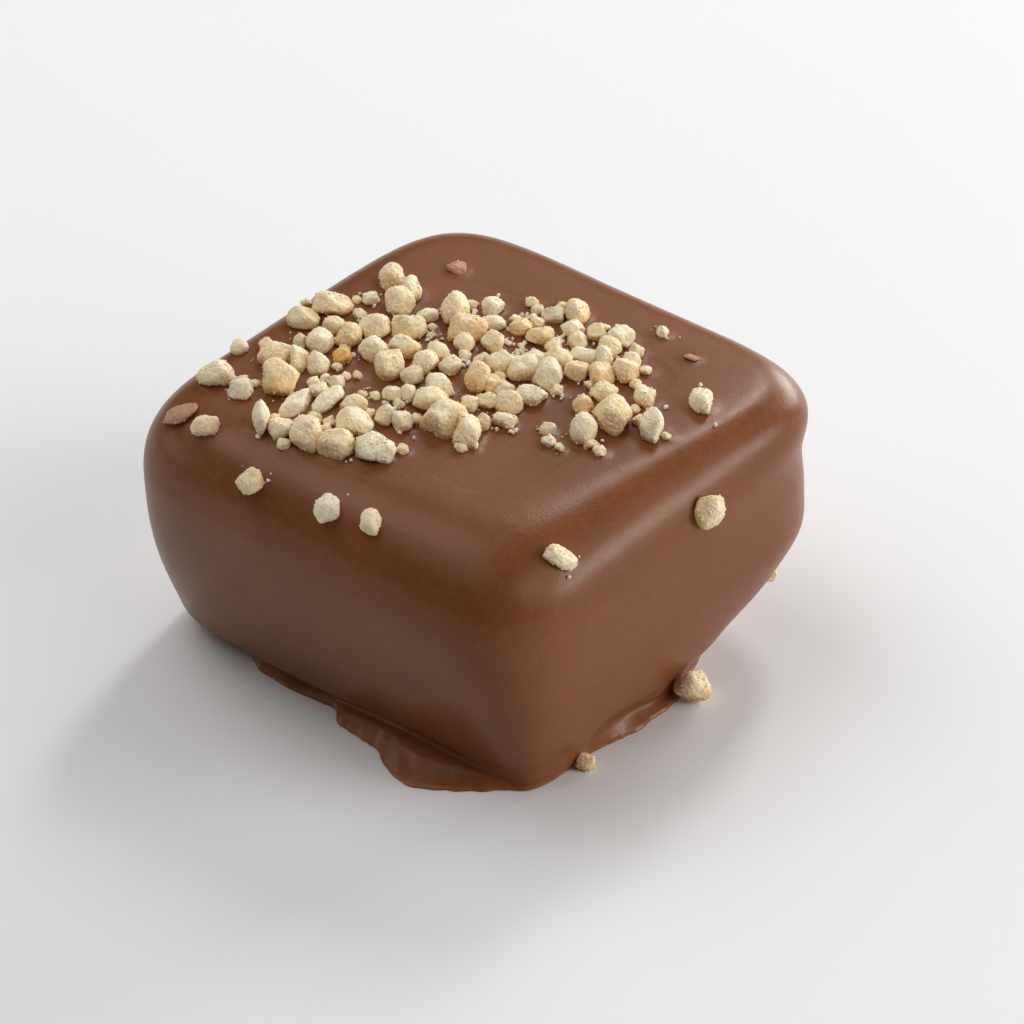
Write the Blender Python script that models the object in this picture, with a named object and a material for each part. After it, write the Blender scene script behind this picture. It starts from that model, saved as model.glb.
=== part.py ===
"""Hazelnut praline: a square block of chocolate with chopped nuts strewn on top.

The block is lofted from level outlines: from the rounded top edge down the leaning walls to the
rim where they end, then the groove under it and the thin foot that the chocolate ran out into.
Each chopped nut is a small cut lump of its own, and one Boolean union joins them to the block.
Lengths are in millimetres until a vertex is made. The middle of the base is the origin.
"""
import math

import bmesh
import bpy
import numpy as np
from mathutils import Vector

MM = 0.001
SEED = 28

# The block
SIDE = 28.0              # across the flats, where the walls are widest
HEIGHT = 15.6            # from the table to the middle of the top
CROWN = 0.76             # how far the top falls before its edge rounds over
CROWN_POWER = 8          # how close to the edge it falls
WALL_TOP = 11.5          # about where the rounded edge ends and the walls begin to lean
RIM_HEIGHT = 1.3         # about where the walls end above the foot
SQUARE_TOP = 5.6         # how square the outline is: 2 is a circle
SQUARE_FOOT = 6.0
SQUARE_FRONT = 3.5       # how much squarer the foot of the corner between +X and -Y is
FRONT_ANGLE = math.radians(-45)
FRONT_SPREAD = math.radians(30)

# The rounded top edge as it changes round the block: a direction in degrees, then how far it
# reaches in and how far down
EDGE = (
    (-135, 3.1, 3.4), (-115, 4.0, 3.6), (-90, 4.9, 4.0), (-45, 6.0, 4.8), (0, 3.9, 3.7), (35, 2.4, 3.0),
    (60, 2.9, 3.3), (135, 3.1, 3.5),
)

# How far each wall leans in by the time it reaches the rim, and the power of its curve
LEAN_FRONT = (3.3, 1.4)        # -Y
LEAN_RIGHT = (1.7, 2.2)        # +X
LEAN_BACK = (3.4, 2.6)         # +Y
LEAN_LEFT = (0.5, 1.1)         # -X

# The corner between +X and +Y tucks under
TUCK_ANGLE = math.radians(45)
TUCK = (1.45, 5.2)             # how far, and the power of its curve
# Where a corner is drawn in, or swells where below 0: how far, at what height, over how much of it
WAISTS = (
    (45, -0.3, 14.1, 1.8), (45, 0.25, 11.0, 1.6), (45, -0.34, 6.4, 1.5), (45, 0.26, 2.3, 0.9),
    (-135, -0.55, 5.5, 5.5),
)
WAIST_SPREAD = math.radians(18)

# The rim, the groove under it and the foot, as they change round the block: a direction in degrees,
# the height of the rim, the depth of the groove, how far the foot runs out past the wall, and the
# height of the shoulder it runs out from
FOOT = (
    (-180, 1.3, 0.4, 0.3, 0.35), (-160, 1.2, 0.4, 0.1, 0.32), (-140, 1.4, 0.7, -1.3, 0.38),
    (-122, 1.35, 0.8, -1.35, 0.36), (-114, 1.25, 0.55, -0.3, 0.3), (-104, 1.15, 0.5, 0.0, 0.3),
    (-91, 1.2, 0.4, -0.2, 0.34), (-87, 1.6, 0.2, 0.7, 0.55), (-75, 2.2, 0.0, 1.1, 0.85),
    (-70, 2.6, -0.15, 2.15, 1.1), (-65, 2.8, -0.2, 2.5, 1.15), (-56, 2.5, -0.1, 1.25, 0.9),
    (-50, 1.9, 0.1, 0.3, 0.55), (-47, 1.2, 0.15, -0.1, 0.32), (-44, 0.7, 0.04, 0.0, 0.24),
    (-37, 0.7, 0.04, -0.1, 0.24), (-29, 1.0, 0.1, -0.25, 0.28), (-25, 1.8, 0.25, -0.25, 0.45),
    (-19, 2.4, 0.3, -0.1, 0.5), (-9, 2.2, 0.3, 0.3, 0.5), (4, 1.3, 0.25, 0.2, 0.32),
    (14, 2.0, 0.3, 0.0, 0.5), (21, 1.9, 0.5, -0.6, 0.5), (46, 1.4, 0.7, -0.8, 0.38),
    (62, 1.3, 0.5, -0.2, 0.35), (90, 1.2, 0.4, 0.5, 0.32), (120, 1.3, 0.4, 0.6, 0.35),
    (140, 1.5, 0.5, 0.0, 0.4), (158, 1.2, 0.4, 0.5, 0.32),
)
GROOVE_LEVEL = 0.42      # the height of the groove, of the rim's
SHOULDER_OUT = 0.5       # where the foot's shoulder stands, of how far the foot runs out
FOOT_EDGE = 0.2

COLUMNS = 80
CORNER_CROWDING = 0.4    # how much closer the columns stand at the corners
TOP_RINGS = 3
TOP_RINGS_IN = 6.8       # how far in from the walls the level middle of the top ends
EDGE_RINGS = 6
WALL_RINGS = 7

# The nuts are laid out as seen over the front corner: across and deep from the middle of the top,
# then how wide and how tall each looks from there, and how far it is turned, in degrees. A nut on
# the sloping edge lies where the same line of sight meets the chocolate
NUT_LAYOUT_TURN = math.radians(40.3)
NUT_LAYOUT_RISE = math.radians(34.1)
CREAM_NUTS = (
    (-14.1, -4.2, 1.35, 0.95, -35), (-13.7, 0.5, 1.9, 1.35, 5), (-12.4, -0.8, 1.35, 1.15, 0),
    (-12.5, 3.2, 0.95, 0.85, 0), (-11.1, 3.5, 0.8, 0.75, 0), (-10.6, 2.3, 1.8, 1.2, 25),
    (-9.4, 2.0, 1.0, 1.4, 0), (-8.3, 3.7, 1.45, 1.25, 0), (-10.3, 0.0, 1.8, 1.9, 0),
    (-8.4, 1.6, 1.2, 1.25, 0), (-7.6, 7.2, 2.1, 1.4, 5), (-7.5, 5.3, 1.3, 0.9, 0),
    (-6.8, 4.2, 1.4, 1.35, 0), (-5.6, 8.0, 0.9, 0.75, 0), (-4.5, 9.8, 1.3, 1.4, 0),
    (-3.5, 8.5, 1.05, 1.5, 0), (-4.1, 7.4, 1.5, 1.5, 0), (-5.4, 5.0, 1.6, 1.4, 0),
    (-3.6, 5.0, 1.8, 1.3, 0), (-5.5, 2.8, 1.45, 1.3, 0), (-3.8, 3.2, 1.75, 1.25, 0),
    (-4.6, 1.3, 1.5, 1.5, 0), (-2.7, 1.6, 1.45, 1.3, 0), (-2.0, 2.8, 1.3, 0.95, -20),
    (-1.4, 1.4, 1.2, 0.95, 0), (-2.6, 6.3, 1.15, 0.8, 0), (-1.15, 6.6, 1.5, 1.6, 0),
    (-0.5, 4.8, 2.0, 1.5, 0), (-0.7, 3.5, 1.1, 1.05, 0), (0.8, 3.6, 1.15, 1.15, 0),
    (0.85, 7.1, 1.15, 0.95, 0), (0.9, 5.6, 1.25, 0.8, 0), (2.3, 5.1, 1.2, 0.9, -15),
    (5.25, 6.5, 1.35, 1.4, 0), (5.05, 5.0, 1.25, 0.9, 0), (6.3, 4.6, 0.95, 0.85, 0),
    (7.6, 4.1, 1.5, 1.15, 0), (3.35, 4.2, 1.5, 1.1, -25), (5.3, 3.6, 1.0, 1.0, 0),
    (4.05, 3.2, 0.9, 0.9, 0), (5.6, 2.4, 1.55, 0.85, 0), (7.0, 3.1, 1.15, 1.1, 0),
    (6.7, 2.1, 0.85, 1.2, 0), (8.15, 1.9, 0.95, 0.9, 0), (7.8, 0.85, 1.4, 1.3, 0),
    (6.55, 0.5, 1.3, 1.25, 0), (5.25, 0.85, 1.3, 1.05, 10), (4.35, 2.05, 1.5, 1.1, -30),
    (3.0, 2.15, 1.15, 0.85, 0), (2.45, 1.05, 1.8, 1.3, 0), (1.25, 1.6, 1.4, 1.2, 10),
    (0.3, 2.15, 1.0, 0.7, 0), (0.0, 0.2, 1.3, 1.6, 0), (1.4, -0.65, 1.15, 0.75, 0),
    (2.8, -1.4, 1.65, 1.15, -30), (1.7, -2.2, 1.4, 1.2, 0), (0.5, -1.95, 1.15, 0.9, 0),
    (-0.4, -2.15, 1.0, 0.95, 0), (1.45, -3.75, 1.25, 0.85, -15), (-0.5, -5.05, 1.4, 1.6, 0),
    (-1.75, -3.85, 2.25, 1.95, 0), (-3.9, -3.9, 1.1, 1.1, 0), (-4.8, -3.3, 1.0, 1.15, 0),
    (-5.3, -6.65, 1.9, 1.5, 15), (-6.4, -4.1, 1.9, 1.4, 0), (-6.45, -2.25, 1.45, 1.0, -10),
    (-8.3, -0.95, 1.0, 0.9, 0), (-7.8, -1.8, 2.5, 0.85, 56), (-9.4, -2.05, 2.6, 0.85, 56),
    (-11.3, -3.65, 0.85, 1.75, 0), (-10.2, -4.6, 1.4, 1.1, -10), (-8.9, -5.2, 1.65, 1.75, 0),
    (-7.35, -6.1, 1.85, 1.45, 0), (-3.6, -1.2, 0.8, 0.95, 0), (-4.5, -1.2, 1.0, 0.8, 30),
    (-2.4, -1.8, 1.85, 1.2, 0), (-1.95, -0.5, 1.6, 1.05, -15), (3.7, -4.5, 0.9, 0.65, 0),
    (3.75, -5.6, 0.8, 0.6, 0), (6.65, -1.1, 1.4, 1.0, 0), (7.05, -3.5, 1.85, 1.95, 0),
    (5.55, -4.7, 1.35, 1.6, 0), (8.8, -1.6, 1.1, 1.15, 0), (9.1, -4.5, 1.2, 1.8, 10),
    (11.7, -2.0, 1.15, 1.35, 0), (9.8, 4.8, 0.65, 0.65, 0), (-11.75, -9.25, 1.45, 1.1, 0),
    (-7.7, -11.7, 1.4, 1.15, 0), (-5.45, -13.1, 1.05, 1.1, 0), (4.25, -16.25, 1.85, 0.85, 0),
    (11.9, -12.0, 1.75, 1.45, 0),
)
GLASSY_NUTS = (
    (-9.3, 3.8, 0.8, 0.85, 0), (-9.2, 5.8, 1.6, 1.15, 0), (-6.2, 6.4, 0.75, 0.7, 0),
    (4.0, 6.3, 1.2, 0.8, -10), (8.4, 2.9, 0.8, 0.75, 0), (3.7, 0.3, 1.5, 1.5, 0),
    (0.35, -3.9, 0.8, 0.9, 0), (-3.2, -3.55, 0.7, 0.7, 0), (-7.35, 0.0, 0.8, 0.75, 0),
    (-8.55, -3.4, 0.95, 0.7, 0), (-3.4, 0.4, 1.15, 1.1, 0), (8.25, -2.5, 0.6, 0.5, 0),
)
TOASTED_NUTS = (
    (-7.1, 2.3, 1.0, 0.85, 0), (0.8, -0.35, 1.05, 0.95, 0), (5.55, -2.35, 1.05, 1.1, 0),
)
FLAKES = ((-15.5, -2.9, 1.9, 1.1, 0), (-1.0, 11.0, 1.1, 0.8, 20), (11.3, 2.5, 0.8, 0.55, 0))

# Nuts that cling to a wall or to the foot: their middle, how wide and how tall
CLINGING_NUTS = (
    (12.0, 9.8, 3.7, 0.8, 0.8), (12.95, 2.3, 0.95, 1.9, 1.9), (12.6, -6.1, 0.4, 1.0, 0.85),
)

# Small nuts strewn beside the larger ones by a seeded draw
SMALL_NUTS = 40
SMALL_SIZE = (0.5, 0.75)
SMALL_GAP = 0.55         # how close, as a share of the two sizes added, a small one may lie
STREWN_FRONT = -6.5      # no small nut lies nearer than this, as seen over the front corner
STREWN_BACK = 8.0

# The form of a nut
NUT_POINTS = 16          # 28 triangles
SMALL_POINTS = 12        # 20 triangles
CUT_FACES = 8
CUT_NEAR = 0.6           # how near to the middle a cut face may come, of the half size
CUT_SHARPNESS = 12
NUT_DEPTH = 1.35         # depth and height of a nut, of how tall it looks
NUT_HEIGHT = 0.95
FLAKE_HEIGHT = 0.45
NUT_LIFT = 0.2          # how far its middle stands above the chocolate, of its height
NUT_TILT = math.radians(12)
SIGHT_STEP = 0.04        # how finely the line of sight is followed down to the chocolate

CLOSEST = 0.001         # corners of the joined mesh closer than this become one

CHOCOLATE_COLOUR = (0.13, 0.055, 0.03, 1.0)
NUT_COLOUR = (0.66, 0.48, 0.27, 1.0)


def column_angles():
    """Directions round the block, closer together at the corners."""
    even = np.arange(COLUMNS) * 2 * math.pi / COLUMNS
    return even + CORNER_CROWDING * np.sin(4 * even) / 4


def bell(distance, spread):
    return np.exp(-(distance / spread) ** 2)


def turned_from(phi, angle):
    """The turn from an angle to each phi, between -pi and pi."""
    return (phi - angle + math.pi) % (2 * math.pi) - math.pi


def outline(phi, z, drawn_in=0.0):
    """The level outline of the block at height z, drawn in from the walls by a distance."""
    down = np.clip((WALL_TOP - z) / (WALL_TOP - RIM_HEIGHT), 0.0, 1.0)
    low, high = {}, {}
    for axis, left, right in (("x", LEAN_LEFT, LEAN_RIGHT), ("y", LEAN_FRONT, LEAN_BACK)):
        low[axis] = -SIDE / 2 + left[0] * down ** left[1]
        high[axis] = SIDE / 2 - right[0] * down ** right[1]
    front = SQUARE_FRONT * bell(turned_from(phi, FRONT_ANGLE), FRONT_SPREAD)
    power = SQUARE_TOP + (SQUARE_FOOT - SQUARE_TOP + front) * down
    reach = (np.abs(np.cos(phi)) ** power + np.abs(np.sin(phi)) ** power) ** (-1 / power)
    x = (low["x"] + high["x"]) / 2 + ((high["x"] - low["x"]) / 2 - drawn_in) * reach * np.cos(phi)
    y = (low["y"] + high["y"]) / 2 + ((high["y"] - low["y"]) / 2 - drawn_in) * reach * np.sin(phi)
    pinch = bell(turned_from(phi, TUCK_ANGLE), WAIST_SPREAD) * TUCK[0] * down ** TUCK[1]
    for direction, far, height, spread in WAISTS:
        near = bell(turned_from(phi, math.radians(direction)), WAIST_SPREAD)
        pinch = pinch + near * far * bell(z - height, spread)
    kept = 1 - pinch / np.hypot(x, y)
    return x * kept, y * kept


def around(phi, table, column):
    """One column of a table that goes round the block, straight from row to row."""
    directions = [row[0] for row in table]
    return np.interp(np.degrees(phi), directions, [row[column] for row in table], period=360)


def edge_profile():
    """How far out and down the rounded edge has come as it turns, each from 0 to 1."""
    share = np.linspace(0, 1, 201)
    turn = math.pi / 2 * share ** 2 * (3 - 2 * share)
    out, down = np.cumsum(np.cos(turn)), np.cumsum(np.sin(turn))
    return share, (out - out[0]) / np.ptp(out), (down - down[0]) / np.ptp(down)


EDGE_SHARE, EDGE_OUT, EDGE_DOWN = edge_profile()


def crown(drawn_in):
    """The height of the top at a distance in from the walls, before its edge rounds over."""
    return HEIGHT - CROWN * (1 - drawn_in / (SIDE / 2)) ** CROWN_POWER


def block_rings():
    """The outlines from the level middle of the top down to the base, each an array of points."""
    phi = column_angles()
    edge_in, edge_down = (around(phi, EDGE, column) for column in (1, 2))
    rings = []
    for share in np.arange(TOP_RINGS) / TOP_RINGS:
        drawn_in = TOP_RINGS_IN + (edge_in - TOP_RINGS_IN) * share
        rings.append((*outline(phi, HEIGHT, drawn_in), crown(drawn_in)))
    for step in range(EDGE_RINGS):
        out, down = (np.interp(step / EDGE_RINGS, EDGE_SHARE, came) for came in (EDGE_OUT, EDGE_DOWN))
        drawn_in = edge_in * (1 - out)
        z = crown(drawn_in) - edge_down * down
        rings.append((*outline(phi, z, drawn_in), z))
    rim, groove, reach, shoulder = (around(phi, FOOT, column) for column in (1, 2, 3, 4))
    for down in np.linspace(0, 1, WALL_RINGS):
        z = (HEIGHT - CROWN - edge_down) * (1 - down) + rim * down
        rings.append((*outline(phi, z), z))
    below = (
        (rim * 0.75, groove * 0.25), (rim * GROOVE_LEVEL, groove),
        (shoulder, 0.4 * groove - SHOULDER_OUT * reach), (FOOT_EDGE, -reach), (0.0, 0.12 - reach),
    )
    for z, drawn_in in below:
        rings.append((*outline(phi, np.maximum(z, RIM_HEIGHT), drawn_in), z))
    return [np.column_stack(np.broadcast_arrays(*ring)) for ring in rings]


def material(name, colour, roughness):
    made = bpy.data.materials.new(name)
    made.use_nodes = True
    shader = made.node_tree.nodes["Principled BSDF"]
    shader.inputs["Base Color"].default_value = colour
    shader.inputs["Roughness"].default_value = roughness
    shader.inputs["Metallic"].default_value = 0.0
    return made


def finished_object(name, bm, coat, collection):
    """An object made from a bmesh, its faces turned outwards."""
    bmesh.ops.triangulate(bm, faces=bm.faces)
    bmesh.ops.recalc_face_normals(bm, faces=bm.faces)
    mesh = bpy.data.meshes.new(name)
    bm.to_mesh(mesh)
    bm.free()
    mesh.materials.append(coat)
    made = bpy.data.objects.new(name, mesh)
    collection.objects.link(made)
    return made


def make_block(coat):
    bm = bmesh.new()
    loops = [[bm.verts.new(Vector(point) * MM) for point in ring] for ring in block_rings()]
    for upper, lower in zip(loops, loops[1:]):
        for i in range(COLUMNS):
            j = (i + 1) % COLUMNS
            bm.faces.new((upper[i], upper[j], lower[j], lower[i]))
    bm.faces.new(loops[0])
    bm.faces.new(reversed(loops[-1]))
    return finished_object("praline", bm, coat, bpy.context.scene.collection)


def top_height(x, y):
    """The height of the chocolate over a point, from the middle of the top to the end of its edge."""
    phi = math.atan2(y, x)
    share = min((abs(x) ** SQUARE_TOP + abs(y) ** SQUARE_TOP) ** (1 / SQUARE_TOP) / (SIDE / 2), 1.0)
    drawn_in = SIDE / 2 * (1 - share)
    out = max(1 - drawn_in / around(phi, EDGE, 1), 0.0)
    return crown(drawn_in) - around(phi, EDGE, 2) * np.interp(out, EDGE_OUT, EDGE_DOWN)


def top_normal(x, y):
    """The way the chocolate faces over a point."""
    step = 0.05
    along_x = top_height(x + step, y) - top_height(x - step, y)
    along_y = top_height(x, y + step) - top_height(x, y - step)
    return Vector((-along_x, -along_y, 2 * step)).normalized()


def even_directions(count):
    """Directions spread evenly over a sphere, along a spiral."""
    i = np.arange(count) + 0.5
    z = 1 - 2 * i / count
    turn = math.pi * (1 + 5 ** 0.5) * i
    flat = np.sqrt(1 - z ** 2)
    return np.column_stack((flat * np.cos(turn), flat * np.sin(turn), z))


def turn_matrix(axis, angle):
    """The rotation about one of the axes 0, 1 or 2."""
    a, b = (axis + 1) % 3, (axis + 2) % 3
    matrix = np.eye(3)
    matrix[a, a] = matrix[b, b] = math.cos(angle)
    matrix[b, a] = math.sin(angle)
    matrix[a, b] = -math.sin(angle)
    return matrix


def nut_points(draw, size, turn, directions):
    """Points on a chopped nut: a ball cut by flat faces, stretched to its size, tilted and turned."""
    faces = even_directions(CUT_FACES) @ turn_matrix(0, draw.uniform(0, math.pi)).T
    faces = faces @ turn_matrix(2, draw.uniform(0, 2 * math.pi)).T
    faces = faces / draw.uniform(CUT_NEAR, 1.0, (CUT_FACES, 1))

    def cut_ball(ways):
        past = np.maximum(ways @ faces.T, 0.0) ** CUT_SHARPNESS
        return ways * ((1 + past.sum(axis=1)) ** (-1 / CUT_SHARPNESS))[:, None]

    extent = cut_ball(even_directions(400))
    low, high = extent.min(axis=0), extent.max(axis=0)
    points = (cut_ball(directions) - (low + high) / 2) / (high - low) * np.array(size)
    for axis, angle in ((0, draw.uniform(-NUT_TILT, NUT_TILT)), (1, draw.uniform(-NUT_TILT, NUT_TILT)), (2, turn)):
        points = points @ turn_matrix(axis, angle).T
    return points


def make_nut(number, place, up, size, turn, count, coat, collection):
    """A nut at its place, its own height along the way up."""
    draw = np.random.default_rng((SEED, number))
    lean = Vector((0, 0, 1)).rotation_difference(up)
    bm = bmesh.new()
    for point in nut_points(draw, size, turn, even_directions(count)):
        placed = lean @ Vector(point) + Vector(place)
        placed.z = max(placed.z, 0.0)
        bm.verts.new(placed * MM)
    hull = bmesh.ops.convex_hull(bm, input=bm.verts)
    bmesh.ops.delete(bm, geom=[v for v in hull["geom_interior"] if v.is_valid], context="VERTS")
    return finished_object("nut", bm, coat, collection)


def on_top(across, deep):
    """Where the line of sight through a place of the layout meets the chocolate."""
    cos, sin = math.cos(NUT_LAYOUT_TURN), math.sin(NUT_LAYOUT_TURN)
    for drop in np.arange(0.0, HEIGHT - WALL_TOP, SIGHT_STEP):
        far = deep + drop / math.tan(NUT_LAYOUT_RISE)
        x, y = across * cos - far * sin, across * sin + far * cos
        if HEIGHT - drop <= top_height(x, y):
            break
    return Vector((x, y, top_height(x, y)))


def laid_nuts():
    """Place, way up, size and turn of every nut that lies on the top."""
    nuts = []
    for layout, height in ((CREAM_NUTS, NUT_HEIGHT), (GLASSY_NUTS, NUT_HEIGHT), (TOASTED_NUTS, NUT_HEIGHT),
                           (small_nuts(), NUT_HEIGHT), (FLAKES, FLAKE_HEIGHT)):
        for across, deep, wide, tall, turn in layout:
            spot = on_top(across, deep)
            size = (wide, tall * NUT_DEPTH, tall * height)
            up = top_normal(spot.x, spot.y)
            nuts.append((spot + up * size[2] * NUT_LIFT, up, size, NUT_LAYOUT_TURN + math.radians(turn)))
    return nuts


def small_nuts():
    """Small nuts drawn beside the larger ones, clear of the middle of each."""
    draw = np.random.default_rng(SEED)
    laid = list(CREAM_NUTS + GLASSY_NUTS + TOASTED_NUTS)
    small = []
    while len(small) < SMALL_NUTS:
        beside = laid[draw.integers(len(laid))]
        size = draw.uniform(*SMALL_SIZE)
        way = draw.uniform(0, 2 * math.pi)
        apart = (beside[2] + size) * SMALL_GAP
        across, deep = beside[0] + apart * math.cos(way), beside[1] + apart * math.sin(way)
        clear = all(math.hypot(across - nut[0], deep - nut[1]) > (nut[2] + size) * SMALL_GAP * 0.9 for nut in laid)
        if clear and STREWN_FRONT < deep < STREWN_BACK:
            small.append((across, deep, size, size * 0.8, 0))
            laid.append(small[-1])
    return small


def keep_largest_shell(mesh):
    """Drops loose scraps, and fills any hollow that the fused nuts have sealed."""
    bm = bmesh.new()
    bm.from_mesh(mesh)
    bmesh.ops.remove_doubles(bm, verts=bm.verts, dist=CLOSEST * MM)
    waiting = set(bm.faces)
    shells = []
    while waiting:
        shell, edge = set(), [waiting.pop()]
        while edge:
            face = edge.pop()
            shell.add(face)
            near = {other for side in face.edges for other in side.link_faces} & waiting
            waiting -= near
            edge.extend(near)
        shells.append(shell)
    shells.sort(key=len)
    scraps = [face for shell in shells[:-1] for face in shell]
    bmesh.ops.delete(bm, geom=scraps, context="FACES")
    bm.to_mesh(mesh)
    bm.free()


def join_nuts(block, nuts):
    union = block.modifiers.new("nuts", "BOOLEAN")
    union.operation = "UNION"
    union.operand_type = "COLLECTION"
    union.collection = nuts
    union.solver = "EXACT"
    union.material_mode = "TRANSFER"
    bpy.context.view_layer.objects.active = block
    bpy.ops.object.modifier_apply(modifier=union.name)
    for nut in list(nuts.objects):
        bpy.data.objects.remove(nut)
    bpy.data.collections.remove(nuts)
    keep_largest_shell(block.data)


def centre_on_base(block):
    """Puts the origin under the middle of the whole, nuts included."""
    points = np.array([vertex.co for vertex in block.data.vertices])
    middle = (points.min(axis=0) + points.max(axis=0)) / 2
    for vertex in block.data.vertices:
        vertex.co.x -= middle[0]
        vertex.co.y -= middle[1]


def main():
    for old in list(bpy.data.objects):
        bpy.data.objects.remove(old)
    chocolate = material("chocolate", CHOCOLATE_COLOUR, 0.38)
    nut = material("nut", NUT_COLOUR, 0.6)
    block = make_block(chocolate)
    nuts = bpy.data.collections.new("nuts")
    bpy.context.scene.collection.children.link(nuts)
    laid = laid_nuts()
    for number, (place, up, size, turn) in enumerate(laid):
        points = NUT_POINTS if size[0] > SMALL_SIZE[1] else SMALL_POINTS
        make_nut(number, place, up, size, turn, points, nut, nuts)
    for number, (x, y, z, wide, tall) in enumerate(CLINGING_NUTS, start=len(laid)):
        size = (wide, (wide + tall) / 2, tall * NUT_HEIGHT)
        make_nut(number, (x, y, z), Vector((0, 0, 1)), size, NUT_LAYOUT_TURN, NUT_POINTS, nut, nuts)
    join_nuts(block, nuts)
    centre_on_base(block)
    block.data.shade_smooth()
    block.data.set_sharp_from_angle(angle=math.radians(40))


main()
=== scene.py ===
"""Hazelnut praline: the coated block, its chopped nuts and crumbs, and the light they stand in.

Everything is made at its real size. Shapes are worked out in millimetres, in the block's own
frame, and become metres when a mesh is made.
"""
import math

import bmesh
import bpy
import numpy as np
from mathutils import Matrix, Vector, noise


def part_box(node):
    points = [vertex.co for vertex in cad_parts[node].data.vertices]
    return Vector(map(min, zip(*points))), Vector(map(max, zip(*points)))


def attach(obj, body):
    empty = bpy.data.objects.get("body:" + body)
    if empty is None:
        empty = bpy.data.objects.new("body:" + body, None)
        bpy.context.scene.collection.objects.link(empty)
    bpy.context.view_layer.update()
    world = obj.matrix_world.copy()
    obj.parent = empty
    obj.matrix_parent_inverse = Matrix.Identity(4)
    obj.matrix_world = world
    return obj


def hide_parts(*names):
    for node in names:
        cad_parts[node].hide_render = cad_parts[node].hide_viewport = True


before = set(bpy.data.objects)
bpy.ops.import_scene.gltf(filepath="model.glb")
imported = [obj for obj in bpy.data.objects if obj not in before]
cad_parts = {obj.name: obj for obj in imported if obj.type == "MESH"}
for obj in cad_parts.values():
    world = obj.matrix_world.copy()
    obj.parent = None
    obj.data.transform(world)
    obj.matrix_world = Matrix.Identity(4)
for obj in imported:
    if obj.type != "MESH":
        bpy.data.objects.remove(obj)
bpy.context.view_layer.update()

MM = 0.001
SEED = 28

# The block, as it was modelled
SIDE = 28.0
HEIGHT = 15.6
CROWN = 0.76
CROWN_POWER = 8
WALL_TOP = 11.5
RIM_HEIGHT = 1.3
SQUARE_TOP = 5.6
SQUARE_FOOT = 6.0
SQUARE_FRONT = 3.5
FRONT_ANGLE = math.radians(-45)
FRONT_SPREAD = math.radians(30)

# The rounded top edge: direction in degrees, how far it reaches in and how far down
EDGE = (
    (-135, 3.1, 3.4), (-115, 4.0, 3.6), (-90, 4.9, 4.0), (-45, 6.0, 4.8), (0, 3.9, 3.7), (35, 2.4, 3.0),
    (60, 2.9, 3.3), (135, 3.1, 3.5),
)

# How far each wall leans in, and the power of its curve
LEAN_FRONT = (3.3, 1.4)
LEAN_RIGHT = (1.7, 2.2)
LEAN_BACK = (3.4, 2.6)
LEAN_LEFT = (0.5, 1.1)

# The corner between +X and +Y tucks under, and corners are drawn in or swell on their way down
TUCK_ANGLE = math.radians(45)
TUCK = (1.45, 5.2)
WAISTS = (
    (45, -0.3, 14.1, 1.8), (45, 0.25, 11.0, 1.6), (45, -0.34, 6.4, 1.5), (45, 0.26, 2.3, 0.9),
    (-135, -0.55, 5.5, 5.5),
)
WAIST_SPREAD = math.radians(18)

# Direction in degrees, height of the rim, depth of the groove, reach of the foot, height of its shoulder
FOOT = (
    (-180, 1.3, 0.4, 0.3, 0.35), (-160, 1.2, 0.4, 0.1, 0.32), (-140, 1.4, 0.7, -1.3, 0.38),
    (-122, 1.35, 0.8, -1.35, 0.36), (-114, 1.25, 0.55, -0.3, 0.3), (-104, 1.15, 0.5, 0.0, 0.3),
    (-91, 1.2, 0.4, -0.2, 0.34), (-87, 1.6, 0.2, 0.7, 0.55), (-75, 2.2, 0.0, 1.1, 0.85),
    (-70, 2.6, -0.15, 2.15, 1.1), (-65, 2.8, -0.2, 2.5, 1.15), (-56, 2.5, -0.1, 1.25, 0.9),
    (-50, 1.9, 0.1, 0.3, 0.55), (-47, 1.2, 0.15, -0.1, 0.32), (-44, 0.7, 0.04, 0.0, 0.24),
    (-37, 0.7, 0.04, -0.1, 0.24), (-29, 1.0, 0.1, -0.25, 0.28), (-25, 1.8, 0.25, -0.25, 0.45),
    (-19, 2.4, 0.3, -0.1, 0.5), (-9, 2.2, 0.3, 0.3, 0.5), (4, 1.3, 0.25, 0.2, 0.32),
    (14, 2.0, 0.3, 0.0, 0.5), (21, 1.9, 0.5, -0.6, 0.5), (46, 1.4, 0.7, -0.8, 0.38),
    (62, 1.3, 0.5, -0.2, 0.35), (90, 1.2, 0.4, 0.5, 0.32), (120, 1.3, 0.4, 0.6, 0.35),
    (140, 1.5, 0.5, 0.0, 0.4), (158, 1.2, 0.4, 0.5, 0.32),
)
GROOVE_LEVEL = 0.42
SHOULDER_OUT = 0.5
FOOT_EDGE = 0.2
FOOT_UNDERCUT = 0.12
BASE_EDGE = 1.5
THIN_FOOT = 0.7                  # the coating looks thinner below this height

# How finely the coating is made
COLUMNS = 420
TOP_RINGS = 56
EDGE_RINGS = 34
WALL_RINGS = 44
RINGS_PER_STEP = 6
EASING = math.radians(1.2)       # how far round the block its tables are eased
EDGE_EASING = math.radians(12)

# Unevenness of the coating: the size of its waves and their height
LONG_WAVES = (6.0, 0.09)
SHORT_WAVES = (1.7, 0.014)
RAGGED_FOOT = (0.55, 0.12)
WAVES_FULL = 2.5                 # the height above the table from which the waves are full

# The collars of coating round the nuts on the top, and how far down the top and its nuts reach
COLLAR_HEIGHT = 0.06
COLLAR_WIDTH = 0.28
COLLAR_SHARE = 0.42
TOP_DEPTH = 2.0
TOP_NUTS = 2.5

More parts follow.
